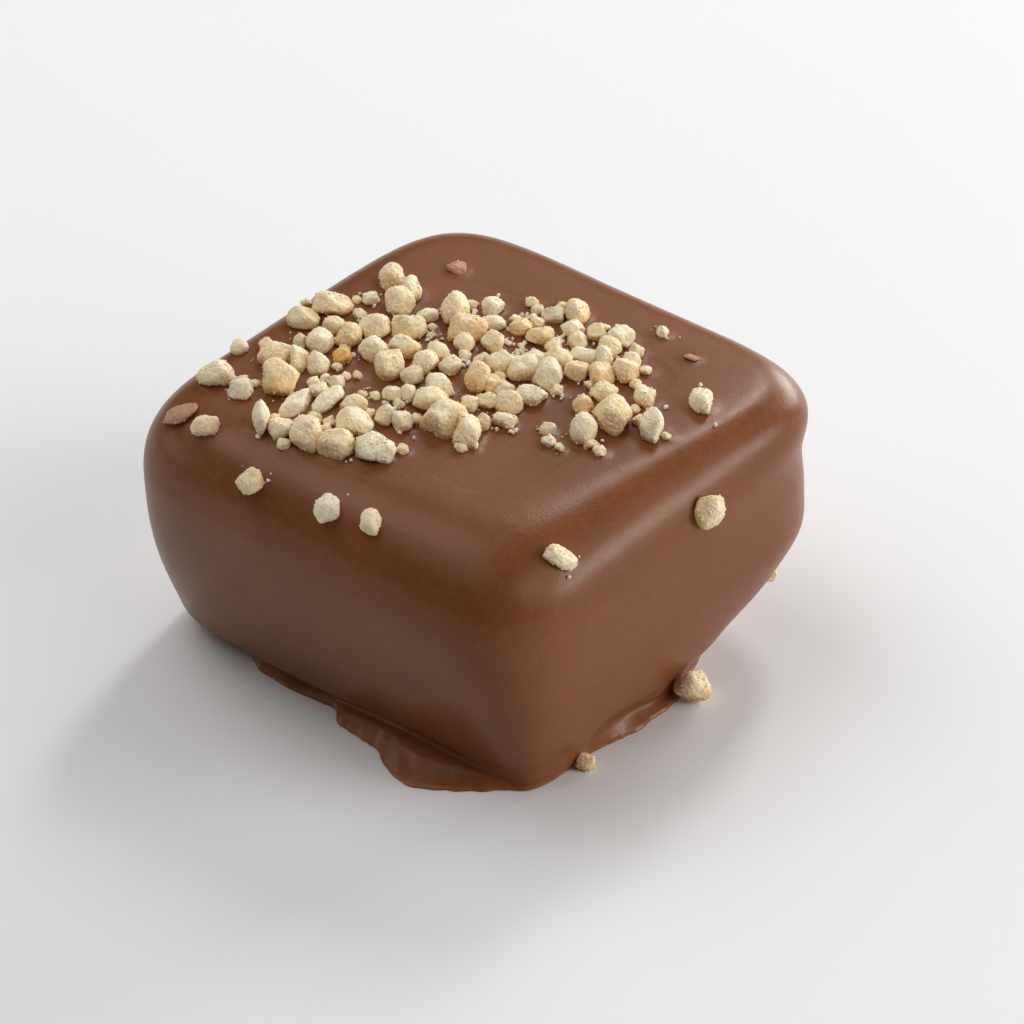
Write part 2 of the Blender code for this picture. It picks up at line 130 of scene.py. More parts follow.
# The nuts, as seen over the front corner: across, deep, how wide, how tall, turn in degrees
NUT_LAYOUT_TURN = math.radians(40.3)
NUT_LAYOUT_RISE = math.radians(34.1)
CREAM_NUTS = (
    (-14.1, -4.2, 1.35, 0.95, -35), (-13.7, 0.5, 1.9, 1.35, 5), (-12.4, -0.8, 1.35, 1.15, 0),
    (-12.5, 3.2, 0.95, 0.85, 0), (-11.1, 3.5, 0.8, 0.75, 0), (-10.6, 2.3, 1.8, 1.2, 25),
    (-9.4, 2.0, 1.0, 1.4, 0), (-8.3, 3.7, 1.45, 1.25, 0), (-10.3, 0.0, 1.8, 1.9, 0),
    (-8.4, 1.6, 1.2, 1.25, 0), (-7.6, 7.2, 2.1, 1.4, 5), (-7.5, 5.3, 1.3, 0.9, 0),
    (-6.8, 4.2, 1.4, 1.35, 0), (-5.6, 8.0, 0.9, 0.75, 0), (-4.5, 9.8, 1.3, 1.4, 0),
    (-3.5, 8.5, 1.05, 1.5, 0), (-4.1, 7.4, 1.5, 1.5, 0), (-5.4, 5.0, 1.6, 1.4, 0),
    (-3.6, 5.0, 1.8, 1.3, 0), (-5.5, 2.8, 1.45, 1.3, 0), (-3.8, 3.2, 1.75, 1.25, 0),
    (-4.6, 1.3, 1.5, 1.5, 0), (-2.7, 1.6, 1.45, 1.3, 0), (-2.0, 2.8, 1.3, 0.95, -20),
    (-1.4, 1.4, 1.2, 0.95, 0), (-2.6, 6.3, 1.15, 0.8, 0), (-1.15, 6.6, 1.5, 1.6, 0),
    (-0.5, 4.8, 2.0, 1.5, 0), (-0.7, 3.5, 1.1, 1.05, 0), (0.8, 3.6, 1.15, 1.15, 0),
    (0.85, 7.1, 1.15, 0.95, 0), (0.9, 5.6, 1.25, 0.8, 0), (2.3, 5.1, 1.2, 0.9, -15),
    (5.25, 6.5, 1.35, 1.4, 0), (5.05, 5.0, 1.25, 0.9, 0), (6.3, 4.6, 0.95, 0.85, 0),
    (7.6, 4.1, 1.5, 1.15, 0), (3.35, 4.2, 1.5, 1.1, -25), (5.3, 3.6, 1.0, 1.0, 0),
    (4.05, 3.2, 0.9, 0.9, 0), (5.6, 2.4, 1.55, 0.85, 0), (7.0, 3.1, 1.15, 1.1, 0),
    (6.7, 2.1, 0.85, 1.2, 0), (8.15, 1.9, 0.95, 0.9, 0), (7.8, 0.85, 1.4, 1.3, 0),
    (6.55, 0.5, 1.3, 1.25, 0), (5.25, 0.85, 1.3, 1.05, 10), (4.35, 2.05, 1.5, 1.1, -30),
    (3.0, 2.15, 1.15, 0.85, 0), (2.45, 1.05, 1.8, 1.3, 0), (1.25, 1.6, 1.4, 1.2, 10),
    (0.3, 2.15, 1.0, 0.7, 0), (0.0, 0.2, 1.3, 1.6, 0), (1.4, -0.65, 1.15, 0.75, 0),
    (2.8, -1.4, 1.65, 1.15, -30), (1.7, -2.2, 1.4, 1.2, 0), (0.5, -1.95, 1.15, 0.9, 0),
    (-0.4, -2.15, 1.0, 0.95, 0), (1.45, -3.75, 1.25, 0.85, -15), (-0.5, -5.05, 1.4, 1.6, 0),
    (-1.75, -3.85, 2.25, 1.95, 0), (-3.9, -3.9, 1.1, 1.1, 0), (-4.8, -3.3, 1.0, 1.15, 0),
    (-5.3, -6.65, 1.9, 1.5, 15), (-6.4, -4.1, 1.9, 1.4, 0), (-6.45, -2.25, 1.45, 1.0, -10),
    (-8.3, -0.95, 1.0, 0.9, 0), (-7.8, -1.8, 2.5, 0.85, 56), (-9.4, -2.05, 2.6, 0.85, 56),
    (-11.3, -3.65, 0.85, 1.75, 0), (-10.2, -4.6, 1.4, 1.1, -10), (-8.9, -5.2, 1.65, 1.75, 0),
    (-7.35, -6.1, 1.85, 1.45, 0), (-3.6, -1.2, 0.8, 0.95, 0), (-4.5, -1.2, 1.0, 0.8, 30),
    (-2.4, -1.8, 1.85, 1.2, 0), (-1.95, -0.5, 1.6, 1.05, -15), (3.7, -4.5, 0.9, 0.65, 0),
    (3.75, -5.6, 0.8, 0.6, 0), (6.65, -1.1, 1.4, 1.0, 0), (7.05, -3.5, 1.85, 1.95, 0),
    (5.55, -4.7, 1.35, 1.6, 0), (8.8, -1.6, 1.1, 1.15, 0), (9.1, -4.5, 1.2, 1.8, 10),
    (11.7, -2.0, 1.15, 1.35, 0), (9.8, 4.8, 0.65, 0.65, 0), (-11.75, -9.25, 1.45, 1.1, 0),
    (-7.7, -11.7, 1.4, 1.15, 0), (-5.45, -13.1, 1.05, 1.1, 0), (4.25, -16.25, 1.85, 0.85, 0),
    (11.9, -12.0, 1.75, 1.45, 0),
)
GLASSY_NUTS = (
    (-9.3, 3.8, 0.8, 0.85, 0), (-9.2, 5.8, 1.6, 1.15, 0), (-6.2, 6.4, 0.75, 0.7, 0),
    (4.0, 6.3, 1.2, 0.8, -10), (8.4, 2.9, 0.8, 0.75, 0), (3.7, 0.3, 1.5, 1.5, 0),
    (0.35, -3.9, 0.8, 0.9, 0), (-3.2, -3.55, 0.7, 0.7, 0), (-7.35, 0.0, 0.8, 0.75, 0),
    (-8.55, -3.4, 0.95, 0.7, 0), (-3.4, 0.4, 1.15, 1.1, 0), (8.25, -2.5, 0.6, 0.5, 0),
)
TOASTED_NUTS = (
    (-7.1, 2.3, 1.0, 0.85, 0), (0.8, -0.35, 1.05, 0.95, 0), (5.55, -2.35, 1.05, 1.1, 0),
)
FLAKES = ((-15.5, -2.9, 1.9, 1.1, 0), (-1.0, 11.0, 1.1, 0.8, 20), (11.3, 2.5, 0.8, 0.55, 0))

# Nuts that cling to a wall or to the foot: their middle, how wide and how tall
CLINGING_NUTS = (
    (12.0, 9.8, 3.7, 0.8, 0.8), (12.95, 2.3, 0.95, 1.9, 1.9), (12.6, -6.1, 0.4, 1.0, 0.85),
)
# Where the nuts lie that are more golden, or paler, than the rest
GOLDEN_AT = (
    (-11.75, -9.25), (11.9, -12.0), (7.05, -3.5), (0.8, -0.35), (5.55, -2.35), (-10.6, 2.3), (-10.3, 0.0),
    (-7.35, -6.1), (-4.1, 7.4), (-3.6, 5.0), (-0.5, 4.8), (2.45, 1.05), (5.25, 0.85), (4.35, 2.05),
    (3.35, 4.2), (-8.9, -5.2), (-4.5, 9.8), (-0.5, -5.05), (5.25, 6.5), (-7.6, 7.2), (8.8, -1.6),
    (6.55, 0.5), (0.0, 0.2), (-3.8, 3.2), (-14.1, -4.2), (2.3, 5.1), (-6.8, 4.2), (7.8, 0.85),
)
PALE_AT = (
    (-7.7, -11.7), (-5.45, -13.1), (4.25, -16.25), (11.7, -2.0), (9.1, -4.5), (5.55, -4.7), (3.7, -4.5),
    (3.75, -5.6), (-5.3, -6.65), (-11.3, -3.65), (2.8, -1.4), (1.45, -3.75), (-2.4, -1.8), (-13.7, 0.5),
    (-12.4, -0.8), (-9.4, -2.05), (-7.8, -1.8), (0.9, 5.6), (0.85, 7.1), (7.6, 4.1), (6.7, 2.1),
    (-5.6, 8.0), (-2.6, 6.3), (-3.9, -3.9), (-1.95, -0.5), (-1.4, 1.4), (9.8, 4.8), (5.05, 5.0),
)
SMALL_NUTS = 40
SMALL_SIZE = (0.5, 0.75)
SMALL_GAP = 0.55
SMALL_OVERLAP = 0.9
STREWN_FRONT = -6.5
STREWN_BACK = 8.0

# The form of a nut
CUT_FACES = 8
CUT_NEAR = 0.6
CUT_SHARPNESS = 10
NUT_DEPTH = 1.35
NUT_HEIGHT = 0.95
FLAKE_HEIGHT = 0.45
NUT_LIFT = 0.2
NUT_TILT = math.radians(12)
SIGHT_STEP = 0.04
NUT_SWELL = 1.05         # the rounded nut fills a little more than its cut lump
POINTS_PER_AREA = 1150   # for each square millimetre of its front
FEWEST_POINTS = 350
MOST_POINTS = 3000
NUT_LUMPS = (0.45, 0.07)         # their size and height, as shares of the size of the nut
NUT_CRUST = (0.2, 0.09)          # the size and height of the grains of its crust, in millimetres
CRUST_LEVEL = 0.4                # the crust's height that leaves the nut its size

# Heaps of fine crumbs on the top: across, deep, spread and number
HEAPS = (
    (-2.5, 4.5, 0.5, 46), (2.2, 3.1, 0.75, 60), (-0.6, 2.25, 0.4, 26), (1.5, 3.95, 0.4, 26),
    (-8.1, 0.05, 0.35, 16), (-5.8, -1.0, 0.4, 22), (2.7, 6.3, 0.4, 14), (-0.1, 6.7, 0.25, 8),
    (4.4, -1.1, 0.4, 14), (2.0, -4.5, 0.25, 7), (11.65, -0.5, 0.25, 6), (4.3, 4.2, 0.5, 22),
    (6.0, 1.4, 0.5, 22), (-6.5, 2.7, 0.3, 12), (-4.4, -2.4, 0.6, 24), (0.6, -1.3, 0.5, 20),
)
# Single crumbs: across, deep and size
CRUMBS = (
    (-6.1, -1.05, 0.42), (-7.8, 0.1, 0.3), (4.5, 7.4, 0.16), (7.4, 5.4, 0.3), (8.25, 4.8, 0.3),
    (3.0, 6.15, 0.5), (2.4, 6.45, 0.35), (-1.9, 6.6, 0.25), (3.55, -1.3, 0.3), (4.05, -4.8, 0.18),
    (4.1, -6.0, 0.16), (6.55, -5.4, 0.2), (6.2, -6.0, 0.2), (9.9, -2.25, 0.25), (12.45, -3.9, 0.25),
    (-6.7, -10.4, 0.14), (-3.3, -5.15, 0.2), (-6.2, 8.6, 0.25),
)
STREWN_CRUMBS = 260
CRUMB_SIZE = (0.09, 0.3)
CRUMB_POINTS = 16
CRUMB_LIFT = 0.25
CRUMB_MARGIN = 0.4       # kept clear of crumbs along the walls

# The grains that stick to each nut
STUCK_GRAINS = 36        # for each square millimetre of its front
STUCK_SPARSE = 0.2       # the share of them that a glassy nut or a flake has
STUCK_SIZE = (0.06, 0.17)
STUCK_POINTS = 9

# The camera: it looks at a point on the block's axis, from over the front corner
AIM_HEIGHT = 8.0
VIEW_TURN = math.radians(40.31)
VIEW_RISE = math.radians(34.14)
VIEW_DISTANCE = 672.0
PICTURE = 1024                   # pixels across
PIXELS_PER_MM = 18.92            # at the point looked at
AIM_PIXEL = (477.0, 504.3)
SENSOR = 36.0

# The lights: name, turn and rise in degrees, width and height in millimetres, and power
LIGHTS = (
    ("low_window", 92, 13, 260, 130, 1.05), ("side_window", 32, 13, 200, 130, 0.75),
    ("upper_side_window", 32, 38, 200, 200, 0.15), ("right_screen", 0, 38, 220, 220, 0.32),
    ("corner_lamp", 111, 42, 60, 120, 0.36), ("back_screen", 122, 34, 220, 200, 0.12),
    ("left_screen", 180, 40, 240, 220, 0.23), ("upper_screen", 182, 64, 260, 260, 0.32),
    ("front_screen", 236, 64, 360, 360, 0.36), ("low_left_screen", 212, 14, 220, 130, 0.14),
)
LIGHT_DISTANCE = 420.0


def bell(distance, spread):
    return np.exp(-(distance / spread) ** 2)


def turned_from(phi, angle):
    """The turn from an angle to each phi, between -pi and pi."""
    return (phi - angle + math.pi) % (2 * math.pi) - math.pi


def outline(phi, z, drawn_in=0.0):
    """The level outline of the block at height z, drawn in from the walls by a distance."""
    down = np.clip((WALL_TOP - z) / (WALL_TOP - RIM_HEIGHT), 0.0, 1.0)
    low, high = {}, {}
    for axis, left, right in (("x", LEAN_LEFT, LEAN_RIGHT), ("y", LEAN_FRONT, LEAN_BACK)):
        low[axis] = -SIDE / 2 + left[0] * down ** left[1]
        high[axis] = SIDE / 2 - right[0] * down ** right[1]
    front = SQUARE_FRONT * bell(turned_from(phi, FRONT_ANGLE), FRONT_SPREAD)
    power = SQUARE_TOP + (SQUARE_FOOT - SQUARE_TOP + front) * down
    reach = (np.abs(np.cos(phi)) ** power + np.abs(np.sin(phi)) ** power) ** (-1 / power)
    x = (low["x"] + high["x"]) / 2 + ((high["x"] - low["x"]) / 2 - drawn_in) * reach * np.cos(phi)
    y = (low["y"] + high["y"]) / 2 + ((high["y"] - low["y"]) / 2 - drawn_in) * reach * np.sin(phi)
    pinch = bell(turned_from(phi, TUCK_ANGLE), WAIST_SPREAD) * TUCK[0] * down ** TUCK[1]
    for direction, far, height, spread in WAISTS:
        near = bell(turned_from(phi, math.radians(direction)), WAIST_SPREAD)
        pinch = pinch + near * far * bell(z - height, spread)
    kept = 1 - pinch / np.maximum(np.hypot(x, y), 2.0)
    return x * kept, y * kept


def around(phi, table, column, easing=EASING):
    """One column of a table that goes round the block, eased from row to row."""
    directions = [row[0] for row in table]
    values = [row[column] for row in table]
    shifts = np.linspace(-2, 2, 9) * easing
    found = [np.interp(np.degrees(phi + shift), directions, values, period=360) for shift in shifts]
    return np.average(found, axis=0, weights=bell(shifts, easing))


def edge_profile():
    """How far out and down the rounded edge has come as it turns, each from 0 to 1."""
    share = np.linspace(0, 1, 201)
    turn = math.pi / 2 * share ** 2 * (3 - 2 * share)
    out, down = np.cumsum(np.cos(turn)), np.cumsum(np.sin(turn))
    return share, (out - out[0]) / np.ptp(out), (down - down[0]) / np.ptp(down)


EDGE_SHARE, EDGE_OUT, EDGE_DOWN = edge_profile()


def crown(drawn_in):
    """The height of the top at a distance in from the walls, before its edge rounds over."""
    return HEIGHT - CROWN * (1 - drawn_in / (SIDE / 2)) ** CROWN_POWER


def granules(points, size, number=0):
    """How far each point stands up on a crust of round grains: 1 at their tops, 0 between them."""
    start = Vector((5.1 * number, 2.7 * number, 0.0))
    apart = [noise.voronoi(Vector(point) / size + start)[0][0] for point in points]
    return np.clip(1 - 1.25 * np.array(apart), 0.0, 1.0)


def rough(points, size, number=0):
    """Noise at each point, from -1 to 1, its lumps about that size across."""
    start = Vector((7.3 * number, 3.1 * number, 0.0))
    return np.array([noise.noise(Vector(point) / size + start) for point in points])


def eased_rings(rings, steps):
    """More rings on a smooth curve through those given, the first and last two only guiding it."""
    made = []
    for a, b, c, d in zip(rings, rings[1:], rings[2:], rings[3:]):
        for t in np.arange(steps) / steps:
            square, cubic = 2 * a - 5 * b + 4 * c - d, 3 * b - a - 3 * c + d
            made.append(0.5 * (2 * b + (c - a) * t + square * t ** 2 + cubic * t ** 3))
    return made


def coating_rings():
    """The coating's rings from the middle of the top down to the base."""
    phi = np.arange(COLUMNS) * 2 * math.pi / COLUMNS
    rings = []

    def add(z, drawn_in=0.0, outline_height=None):
        x, y = outline(phi, z if outline_height is None else outline_height, drawn_in)
        rings.append(np.column_stack(np.broadcast_arrays(x, y, z)))

    edge_in, edge_down = (around(phi, EDGE, column, EDGE_EASING) for column in (1, 2))
    for share in np.linspace(0, 1, TOP_RINGS, endpoint=False)[1:]:
        drawn_in = SIDE / 2 - share * (SIDE / 2 - edge_in)
        add(crown(drawn_in), drawn_in, HEIGHT)
    for step in range(EDGE_RINGS):
        out, down = (np.interp(step / EDGE_RINGS, EDGE_SHARE, came) for came in (EDGE_OUT, EDGE_DOWN))
        drawn_in = edge_in * (1 - out)
        add(crown(drawn_in) - edge_down * down, drawn_in)
    rim, groove, reach, shoulder = (around(phi, FOOT, column) for column in (1, 2, 3, 4))
    circle = np.column_stack((np.cos(phi), np.sin(phi), np.zeros(COLUMNS))) * SIDE / 2
    ragged = rough(circle, RAGGED_FOOT[0]) + 0.5 * rough(circle, RAGGED_FOOT[0] / 3, 1)
    reach = reach + ragged * RAGGED_FOOT[1] * np.clip(reach + 0.5, 0.25, 1)
    for down in np.linspace(0, 1, WALL_RINGS):
        add((HEIGHT - CROWN - edge_down) * (1 - down) + rim * down)
    upper = rings[:-1]
    rings[:] = rings[-2:]
    below = (
        (rim * 0.8, groove * 0.15), (rim * 0.6, groove * 0.6), (rim * GROOVE_LEVEL, groove),
        (shoulder, 0.4 * groove - SHOULDER_OUT * reach), (FOOT_EDGE + 0.0 * phi, -reach),
        (0.0 * phi, FOOT_UNDERCUT - reach), (0.0 * phi, BASE_EDGE - np.minimum(reach, 0)),
    )
    for z, drawn_in in below:
        add(z, drawn_in, np.maximum(z, RIM_HEIGHT))
    lower = eased_rings(rings, RINGS_PER_STEP)
    for ring in lower:
        ring[:, 2] = np.maximum(ring[:, 2], 0.0)
    return upper + lower + [rings[-2]]


def mesh_piece(name, points, faces, finish, values=None, smooth=True):
    """A piece that rides on the praline and stands for its solid, made from points in the block's frame."""
    mesh = bpy.data.meshes.new(name)
    shifted = np.asarray(points) * MM + np.array((BLOCK_SHIFT, 0.0, 0.0))
    mesh.from_pydata(shifted.tolist(), [], faces)
    for key, numbers in (values or {}).items():
        attribute = mesh.attributes.new(key, "FLOAT", "POINT")
        attribute.data.foreach_set("value", np.asarray(numbers, dtype=np.float32))
    mesh.materials.append(finish)
    if smooth:
        mesh.shade_smooth()
    mesh.update()
    piece = bpy.data.objects.new(name, mesh)
    bpy.context.scene.collection.objects.link(piece)
    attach(piece, "root")
    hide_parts("praline")
    return piece


def top_height(x, y):
    """The height of the chocolate over a point, from the middle of the top to the end of its edge."""
    phi = math.atan2(y, x)
    share = min((abs(x) ** SQUARE_TOP + abs(y) ** SQUARE_TOP) ** (1 / SQUARE_TOP) / (SIDE / 2), 1.0)
    drawn_in = SIDE / 2 * (1 - share)
    out = max(1 - drawn_in / around(phi, EDGE, 1, EDGE_EASING), 0.0)
    return crown(drawn_in) - around(phi, EDGE, 2, EDGE_EASING) * np.interp(out, EDGE_OUT, EDGE_DOWN)


def top_normal(x, y):
    """The way the chocolate faces over a point."""
    step = 0.05
    along_x = top_height(x + step, y) - top_height(x - step, y)
    along_y = top_height(x, y + step) - top_height(x, y - step)
    return Vector((-along_x, -along_y, 2 * step)).normalized()


def on_top(across, deep):
    """Where the line of sight through a place of the layout meets the chocolate."""
    cos, sin = math.cos(NUT_LAYOUT_TURN), math.sin(NUT_LAYOUT_TURN)
    for drop in np.arange(0.0, HEIGHT - WALL_TOP, SIGHT_STEP):
        far = deep + drop / math.tan(NUT_LAYOUT_RISE)
        x, y = across * cos - far * sin, across * sin + far * cos
        if HEIGHT - drop <= top_height(x, y):
            break
    return Vector((x, y, top_height(x, y)))


def even_directions(count):
    """Directions spread evenly over a sphere, along a spiral."""
    i = np.arange(count) + 0.5
    z = 1 - 2 * i / count
    turn = math.pi * (1 + 5 ** 0.5) * i
    flat = np.sqrt(1 - z ** 2)
    return np.column_stack((flat * np.cos(turn), flat * np.sin(turn), z))


BALLS = {}


def ball(count):
    """Even directions and the triangles between them."""
    if count not in BALLS:
        ways = even_directions(count)
        bm = bmesh.new()
        for way in ways:
            bm.verts.new(way)
        bm.verts.index_update()
        bmesh.ops.convex_hull(bm, input=bm.verts)
        bmesh.ops.recalc_face_normals(bm, faces=bm.faces)
        BALLS[count] = ways, np.array([[vertex.index for vertex in face.verts] for face in bm.faces])
        bm.free()
    return BALLS[count]


def turn_matrix(axis, angle):
    """The rotation about one of the axes 0, 1 or 2."""
    a, b = (axis + 1) % 3, (axis + 2) % 3
    matrix = np.eye(3)
    matrix[a, a] = matrix[b, b] = math.cos(angle)
    matrix[b, a] = math.sin(angle)
    matrix[a, b] = -math.sin(angle)
    return matrix


def nut_points(draw, size, turn, directions):
    """Points on a chopped nut: a ball cut by flat faces, stretched to its size, tilted and turned."""
    faces = even_directions(CUT_FACES) @ turn_matrix(0, draw.uniform(0, math.pi)).T
    faces = faces @ turn_matrix(2, draw.uniform(0, 2 * math.pi)).T
    faces = faces / draw.uniform(CUT_NEAR, 1.0, (CUT_FACES, 1))

    def cut_ball(ways):
        past = np.maximum(ways @ faces.T, 0.0) ** CUT_SHARPNESS
        return ways * ((1 + past.sum(axis=1)) ** (-1 / CUT_SHARPNESS))[:, None]

    extent = cut_ball(even_directions(400))
    low, high = extent.min(axis=0), extent.max(axis=0)
    points = (cut_ball(directions) - (low + high) / 2) / (high - low) * np.array(size)
    tilts = [draw.uniform(-NUT_TILT, NUT_TILT) for _ in range(2)]
    for axis, angle in enumerate((*tilts, turn)):
        points = points @ turn_matrix(axis, angle).T
    return points


def small_nuts():
    """Small nuts drawn beside the larger ones, clear of the middle of each."""
    draw = np.random.default_rng(SEED)
    laid = list(CREAM_NUTS + GLASSY_NUTS + TOASTED_NUTS)
    small = []
    while len(small) < SMALL_NUTS:
        beside = laid[draw.integers(len(laid))]
        size = draw.uniform(*SMALL_SIZE)
        way = draw.uniform(0, 2 * math.pi)
        apart = (beside[2] + size) * SMALL_GAP
        across, deep = beside[0] + apart * math.cos(way), beside[1] + apart * math.sin(way)
        clear = all(
            math.hypot(across - nut[0], deep - nut[1]) > (nut[2] + size) * SMALL_GAP * SMALL_OVERLAP
            for nut in laid
        )
        if clear and STREWN_FRONT < deep < STREWN_BACK:
            small.append((across, deep, size, size * 0.8, 0))
            laid.append(small[-1])
    return small


def all_nuts():
    """Kind, place, way up, size and turn of every nut, in the order of their numbers."""
    nuts = []
    layouts = (
        ("cream", CREAM_NUTS, NUT_HEIGHT), ("glassy", GLASSY_NUTS, NUT_HEIGHT),
        ("toasted", TOASTED_NUTS, NUT_HEIGHT), ("cream", small_nuts(), NUT_HEIGHT),
        ("flake", FLAKES, FLAKE_HEIGHT),
    )
    for kind, layout, height in layouts:
        for across, deep, wide, tall, turn in layout:
            spot = on_top(across, deep)
            size = np.array((wide, tall * NUT_DEPTH, tall * height))
            up = top_normal(spot.x, spot.y)
            place = spot + up * size[2] * NUT_LIFT
            shade = "golden" if (across, deep) in GOLDEN_AT else "pale" if (across, deep) in PALE_AT else kind
            nuts.append((shade, place, up, size, NUT_LAYOUT_TURN + math.radians(turn)))
    for x, y, z, wide, tall in CLINGING_NUTS:
        size = np.array((wide, (wide + tall) / 2, tall * NUT_HEIGHT))
        nuts.append(("golden", Vector((x, y, z)), Vector((0, 0, 1)), size, NUT_LAYOUT_TURN))
    return nuts


class Pile:
    """Lumps of one kind, gathered into one mesh."""

    def __init__(self):
        self.points, self.faces = [], []
        self.values = {"tone": [], "rise": [], "crust": []}
        self.count = 0

    def add(self, points, faces, **values):
        self.points.append(points)
        self.faces.append(faces + self.count)
        for key, numbers in values.items():
            self.values[key].append(np.broadcast_to(numbers, len(points)))
        self.count += len(points)

    def piece(self, name, finish, smooth=True):
        values = {key: np.concatenate(parts) for key, parts in self.values.items()}
        faces = np.concatenate(self.faces).tolist()
        return mesh_piece(name, np.concatenate(self.points), faces, finish, values, smooth)


def shaped_nut(number, place, up, size, turn):
    """Points and triangles of one nut, how high each point is on it and how far out on its crust."""
    count = int(np.clip(POINTS_PER_AREA * size[0] * size[2], FEWEST_POINTS, MOST_POINTS))
    ways, faces = ball(count)
    draw = np.random.default_rng((SEED, number))
    points = nut_points(draw, size * NUT_SWELL, turn, ways)
    rise = (points[:, 2] - points[:, 2].min()) / np.ptp(points[:, 2])
    across = size.mean()
    outwards = points / np.linalg.norm(points, axis=1)[:, None]
    swelling = NUT_LUMPS[1] * across * rough(points, NUT_LUMPS[0] * across, number)
    crust = 0.65 * granules(points, NUT_CRUST[0], number) + 0.35 * granules(points, NUT_CRUST[0] / 2, number)
    points = points + outwards * (swelling + NUT_CRUST[1] * (crust - CRUST_LEVEL))[:, None]
    lean = np.array(Vector((0, 0, 1)).rotation_difference(up).to_matrix())
    points = points @ lean.T + np.array(place)
    points[:, 2] = np.maximum(points[:, 2], 0.0)
    return points, faces, rise, crust


def shaped_crumb(draw, place, size, count=CRUMB_POINTS):
    """Points and triangles of one rough crumb or grain."""
    ways, faces = ball(count)
    stretch = draw.uniform(0.7, 1.3, 3)
    points = ways * draw.uniform(0.75, 1.15, (len(ways), 1)) * stretch * size / 2
    return points + np.array(place), faces


def main():
    coat_finish = chocolate_finish()
    nuts = all_nuts()
    make_coating(coat_finish, nuts)
    finishes = {
        "pale": nut_finish("pale_nut", (246, 234, 204), (242, 222, 182), (230, 192, 134), 0.35),
        "cream": nut_finish("cream_nut", (246, 228, 188), (240, 214, 164), (228, 182, 118), 0.35),
        "golden": nut_finish("golden_nut", (244, 220, 174), (238, 202, 144), (224, 168, 98), 0.4),
        "glassy": nut_finish("glassy_nut", (232, 216, 180), (224, 200, 154), (208, 166, 110), 0.55, 0.4),
        "toasted": nut_finish("toasted_nut", (240, 200, 112), (228, 176, 82), (190, 126, 56), 0.35, 0.2),
        "flake": nut_finish("skin_flake", (206, 160, 128), (182, 126, 92), (136, 82, 54), 0.3, 0.15),
    }
    piles = {kind: Pile() for kind in finishes}
    grains, crumbs = Pile(), Pile()
    draw = np.random.default_rng(SEED + 1)
    for number, (kind, place, up, size, turn) in enumerate(nuts):
        points, faces, rise, crust = shaped_nut(number, place, up, size, turn)
        piles[kind].add(points, faces, tone=draw.uniform(), rise=rise, crust=crust)
        stuck = int(STUCK_GRAINS * size[0] * size[2] * (STUCK_SPARSE if kind in ("glassy", "flake") else 1))
        for spot in draw.integers(len(points), size=stuck):
            grain, grain_faces = shaped_crumb(draw, points[spot], draw.uniform(*STUCK_SIZE), STUCK_POINTS)
            grains.add(grain, grain_faces, tone=draw.uniform(), rise=rise[spot], crust=0.8)
    for kind, pile in piles.items():
        pile.piece(kind + "_nuts", finishes[kind])
    for across, deep, size in loose_crumbs(draw):
        spot = on_top(across, deep)
        if max(abs(spot.x), abs(spot.y)) < SIDE / 2 - CRUMB_MARGIN:
            place = spot + Vector((0, 0, size * CRUMB_LIFT))
            crumb, crumb_faces = shaped_crumb(draw, place, size)
            crumbs.add(crumb, crumb_faces, tone=draw.uniform(), rise=0.8, crust=0.8)
    grain_finish = nut_finish("crust_grain", (252, 242, 218), (246, 228, 190), (236, 200, 144), 0.4, 0.5, 0.0)
    grains.piece("crust_grains", grain_finish, smooth=False)
    crumb_finish = nut_finish("nut_crumb", (250, 242, 222), (240, 224, 192), (222, 186, 134), 0.4, 0.5, 0.0)
    crumbs.piece("crumbs", crumb_finish, smooth=False)
    make_room()
    make_camera()


def loose_crumbs(draw):
    """Across, deep and size of each crumb that lies on the chocolate."""
    found = list(CRUMBS)
    for across, deep, spread, number in HEAPS:
        for _ in range(number):
            way, apart = draw.uniform(0, 2 * math.pi), abs(draw.normal(0, spread * 0.6))
            size = CRUMB_SIZE[0] + (CRUMB_SIZE[1] - CRUMB_SIZE[0]) * draw.uniform() ** 1.5
            found.append((across + apart * math.cos(way), deep + apart * math.sin(way) * 1.4, size))
    layout = CREAM_NUTS + GLASSY_NUTS + TOASTED_NUTS
    for _ in range(STREWN_CRUMBS):
        beside = layout[draw.integers(len(layout))]
        way, apart = draw.uniform(0, 2 * math.pi), beside[2] * 0.5 + abs(draw.normal(0, 0.35))
        size = CRUMB_SIZE[0] + (CRUMB_SIZE[1] - CRUMB_SIZE[0]) * draw.uniform() ** 2.5
        found.append((beside[0] + apart * math.cos(way), beside[1] + apart * math.sin(way) * 1.2, size))
    return found


